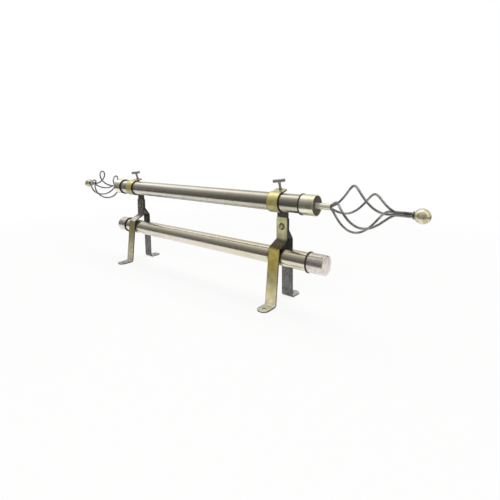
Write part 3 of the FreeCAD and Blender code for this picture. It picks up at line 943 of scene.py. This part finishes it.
# Store painted shade on a screw: full in the slot, and lighter over the head outside its unshaded middle
def markScrewDirt(screw, size, side):
    half, floor = size["slotWidth"] / 2 * mm, (size["slotDepth"] - size["crown"]) * mm
    clean = size["head"] * size["cleanShare"][side] * mm
    values = []
    for face in screw.data.polygons:
        middle = face.center
        inSlot = abs(middle.z) < half * 1.02 and middle.x < floor * 0.98
        dirty = hypot(middle.y, middle.z) > clean
        values.append(1.0 if inSlot else size["headDirt"] if dirty else 0.0)
    storeValues(screw, "cutEdge", "FACE", values)


def makeArmScrew(side):
    size = armScrewSizes
    low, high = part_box(side + "_arm_screw")
    middle = (low + high) / 2
    seat = Vector((middle.x, low.y + size["crown"] * mm, middle.z))
    head, core, end = size["head"], size["core"], size["shankLength"]
    dome = [(-size["crown"] * rise, head * share, rounding) for rise, share, rounding in size["dome"]]
    screw = turnedPiece(side + "ArmScrew", [
        *dome, (0, head, 0.15), (0, size["outer"], 0), (size["threadStart"], size["outer"], 0.2),
        (size["coreStart"], core, 0.1), (end, core, 0.4), (end, 0, 0),
    ], Vector(), segments=size["segments"])
    screw = cutSlot(screw, side + "ArmScrew", size)
    markScrewDirt(screw, size, side)
    thread = woundThread(side + "ArmThread", size, size["threadLength"], "screwSteel")
    placeMesh(thread, Matrix.Rotation(pi / 2, 4, "Y"), Vector((size["threadStart"] * mm, 0, 0)))
    screw.data.materials.append(materials["screwSteel"])
    screw = joinPieces(side + "ArmScrew", [screw, thread])
    turn = Matrix.Rotation(pi / 2, 4, "Z") @ Matrix.Rotation(radians(size["slotTurn"]), 4, "X")
    placeMesh(screw, turn, seat)
    settle(screw, "frame", "screwSteel", side + "_arm_screw")


for side in facings:
    makeArmScrew(side)
print("arm screws made")


# Closed caps of the rear pole, measured from its ends. They ride with it, as do their rings.

capSizes = {
    "outer": 14.8, "bore": 14.05, "length": 25.7, "floor": 0.05, "endWall": 1.5, "mouthEdge": 0.45,
    "endEdge": 1.6,
}


def makeRearCap(side, facing):
    size = capSizes
    outer, bore, floor, end = size["outer"], size["bore"], size["floor"], size["endWall"]
    start = end - size["length"]
    cap = turnedPiece(side + "RearCap", [
        (floor, 0, 0), (floor, bore, 0.2), (start, bore, 0.1), (start, outer, size["mouthEdge"]),
        (end, outer, size["endEdge"]), (end, 0, 0),
    ], endPoint("rear_pole", "rear_pole", facing), facing)
    settle(cap, "rear_pole_assembly", "capChampagne", side + "_rear_pole_cap")
    makeMouthRing(side + "CapRing", side + "_cap_ring", "rear_pole_assembly")


for side, facing in facings.items():
    makeRearCap(side, facing)
print("rear pole caps made")


# Studio, in metres: a white floor and sky for the camera, and two soft boxes for the light. Polished
# metal shows what lies round it, so only reflections see a dark table with lit paper in the middle, a
# dark strip on that paper, and a vault over the poles.

studio = {
    "floorHalf": 12.0, "floorGlow": 0.88, "fadeStart": 0.35, "fadeEnd": 1.1, "paper": (0.86, 0.86, 0.85, 1),
    "tableHalf": 4.0, "tableHeight": 0.0006, "tableColour": (0.125, 0.12, 0.104, 1),
    "paperX": (-0.75, 0.75), "paperY": (-0.20, 0.30), "stripX": (-0.60, 0.26), "stripY": (0.095, 0.19),
    "vaultRadius": 4.0, "vaultHalf": 14.0, "vaultSteps": 48, "vaultColour": (1, 0.985, 0.945),
    "boxColour": (1.0, 0.99, 0.965), "boxAim": (0.0, 0.0, 0.10), "skyLight": 0.45,
}

# Level of the vault by the angle round the poles' axis, in degrees from the front: a dim room in front,
# a bright ceiling, and a paler room behind
vaultLevels = [(0, 0.15), (13, 0.17), (25, 0.20), (36, 0.29), (48, 0.38), (62, 0.50), (74, 0.80),
               (86, 1.35), (96, 1.75), (106, 1.70), (113, 1.00), (124, 0.66), (150, 0.62), (180, 0.75)]


def flatQuad(x, y, height):
    return [(x[0], y[0], height), (x[1], y[0], height), (x[1], y[1], height), (x[0], y[1], height)]


def stagePlanes(name, corners, material):
    data = bpy.data.meshes.new(name)
    data.from_pydata(corners, [], [tuple(range(index, index + 4)) for index in range(0, len(corners), 4)])
    data.materials.append(material)
    plane = addObject(name, data)
    return plane


def reflectionOnly(item):
    for rays in ("camera", "diffuse", "shadow", "volume_scatter"):
        setattr(item, "visible_" + rays, False)


def emptyMaterial(name):
    material = bpy.data.materials.new(name)
    material.use_nodes = True
    material.node_tree.nodes.clear()
    return material


def glowShader(tree, colour, strength):
    return addNode(tree, "ShaderNodeEmission", {"Color": colour, "Strength": strength}).outputs[0]


# 1 for rays from the camera and off polished metal, and 0 for those that carry light
def seenMask(tree):
    path = addNode(tree, "ShaderNodeLightPath").outputs
    seen = mathNode(tree, "MAXIMUM", path["Is Camera Ray"], path["Is Glossy Ray"])
    return mathNode(tree, "MAXIMUM", seen, path["Is Transmission Ray"])


# White where it is seen, and lit paper for the light. Near the object a part of the lit paper shows, so
# that its shadow stays.
def makeFloor():
    material = emptyMaterial("floorPaper")
    tree = material.node_tree
    away = vectorMath(tree, "LENGTH", objectPlace(tree))["Value"]
    fade = smoothMask(tree, away, studio["fadeStart"], studio["fadeEnd"])
    shown = mathNode(tree, "MULTIPLY_ADD", fade, 1 - studio["floorGlow"], studio["floorGlow"])
    share = times(tree, seenMask(tree), shown)
    paper = addNode(tree, "ShaderNodeBsdfDiffuse", {"Color": studio["paper"]}).outputs[0]
    glow = glowShader(tree, (1, 1, 1, 1), 1.0)
    mixed = addNode(tree, "ShaderNodeMixShader", {0: share, 1: paper, 2: glow}).outputs[0]
    addNode(tree, "ShaderNodeOutputMaterial", {"Surface": mixed})
    across = (-studio["floorHalf"], studio["floorHalf"])
    stagePlanes("floor", flatQuad(across, across, 0), material)


def makeDarkTable():
    material = emptyMaterial("darkTable")
    tree = material.node_tree
    glow = glowShader(tree, studio["tableColour"], 1.0)
    addNode(tree, "ShaderNodeOutputMaterial", {"Surface": glow})
    half = studio["tableHalf"]
    (left, right), (front, back) = studio["paperX"], studio["paperY"]
    corners = []
    for x, y in (((-half, half), (-half, front)), ((-half, half), (back, half)),
                 ((-half, left), (front, back)), ((right, half), (front, back)),
                 (studio["stripX"], studio["stripY"])):
        corners += flatQuad(x, y, studio["tableHeight"])
    reflectionOnly(stagePlanes("darkSurround", corners, material))


def makeVault():
    material = emptyMaterial("vaultInside")
    tree = material.node_tree
    spot = splitVector(tree, objectPlace(tree))
    angle = mathNode(tree, "ARCTAN2", spot["Z"], times(tree, spot["Y"], -1))
    brightest = max(level for degrees, level in vaultLevels)
    stops = []
    for degrees, level in vaultLevels:
        share = level / brightest
        stops.append((degrees / 180, [share * part for part in studio["vaultColour"]]))
    glow = glowShader(tree, colourRamp(tree, mathNode(tree, "DIVIDE", angle, pi), stops), brightest)
    addNode(tree, "ShaderNodeOutputMaterial", {"Surface": glow})
    radius, half, count = studio["vaultRadius"], studio["vaultHalf"], studio["vaultSteps"]
    corners = []
    for step in range(count):
        here, ahead = pi * step / count, pi * (step + 1) / count
        for x, turn in ((-half, here), (half, here), (half, ahead), (-half, ahead)):
            corners.append((x, -radius * cos(turn), radius * sin(turn)))
    reflectionOnly(stagePlanes("vault", corners, material))


def makeSoftBox(name, spot, width, depth, power):
    lamp = bpy.data.lights.new(name, "AREA")
    lamp.shape = "RECTANGLE"
    lamp.size = width
    lamp.size_y = depth
    lamp.energy = power
    lamp.color = studio["boxColour"]
    box = addObject(name, lamp)
    box.location = spot
    box.rotation_euler = (Vector(studio["boxAim"]) - Vector(spot)).to_track_quat("-Z", "Y").to_euler()
    box.visible_glossy = False
    box.visible_camera = False


# White sky where it is seen, and a dimmer one for the light
def makeSky():
    world = bpy.data.worlds.new("studioWorld")
    scene.world = world
    world.use_nodes = True
    tree = world.node_tree
    tree.nodes.clear()
    dim = studio["skyLight"]
    strength = mathNode(tree, "MULTIPLY_ADD", seenMask(tree), 1 - dim, dim)
    sky = addNode(tree, "ShaderNodeBackground", {"Color": (1, 1, 1, 1), "Strength": strength}).outputs[0]
    addNode(tree, "ShaderNodeOutputWorld", {"Surface": sky})


makeFloor()
makeDarkTable()
makeVault()
makeSoftBox("ceilingBox", (0.0, 0.30, 1.20), 1.9, 0.5, 9.0)
makeSoftBox("frontFill", (0.5, -1.6, 1.0), 1.4, 1.0, 15.0)
makeSky()
print("studio made")


# Camera, fitted to the picture's measured points, and placed from the right bracket

cameraFit = {
    "fromBracket": (306.72, -457.586, 234.418), "heading": 128.535, "dip": 5.7296, "roll": -0.173,
    "focalPixels": 361.46, "picture": 500, "horizonRow": 188.17, "sensor": 36.0, "clipEnd": 60.0,
}


def makeCamera():
    fit = cameraFit
    heading, dip, roll = radians(fit["heading"]), radians(fit["dip"]), radians(fit["roll"])
    ahead = Vector((cos(heading) * cos(dip), sin(heading) * cos(dip), -sin(dip)))
    level = Vector((sin(heading), -cos(heading), 0))
    above = level.cross(ahead)
    right = level * cos(roll) + above * sin(roll)
    up = above * cos(roll) - level * sin(roll)
    turn = Matrix((right, up, -ahead)).transposed()
    data = bpy.data.cameras.new("camera")
    data.sensor_width = fit["sensor"]
    data.lens = fit["focalPixels"] * fit["sensor"] / fit["picture"]
    data.shift_y = (fit["horizonRow"] - fit["picture"] / 2) / fit["picture"]
    data.clip_end = fit["clipEnd"]
    camera = addObject("camera", data)
    root = Vector((nodeMiddle("right_front_arm").x, 0, 0))
    camera.matrix_world = Matrix.Translation(root + Vector(fit["fromBracket"]) * mm) @ turn.to_4x4()
    scene.camera = camera


makeCamera()
scene.view_settings.view_transform = "Standard"
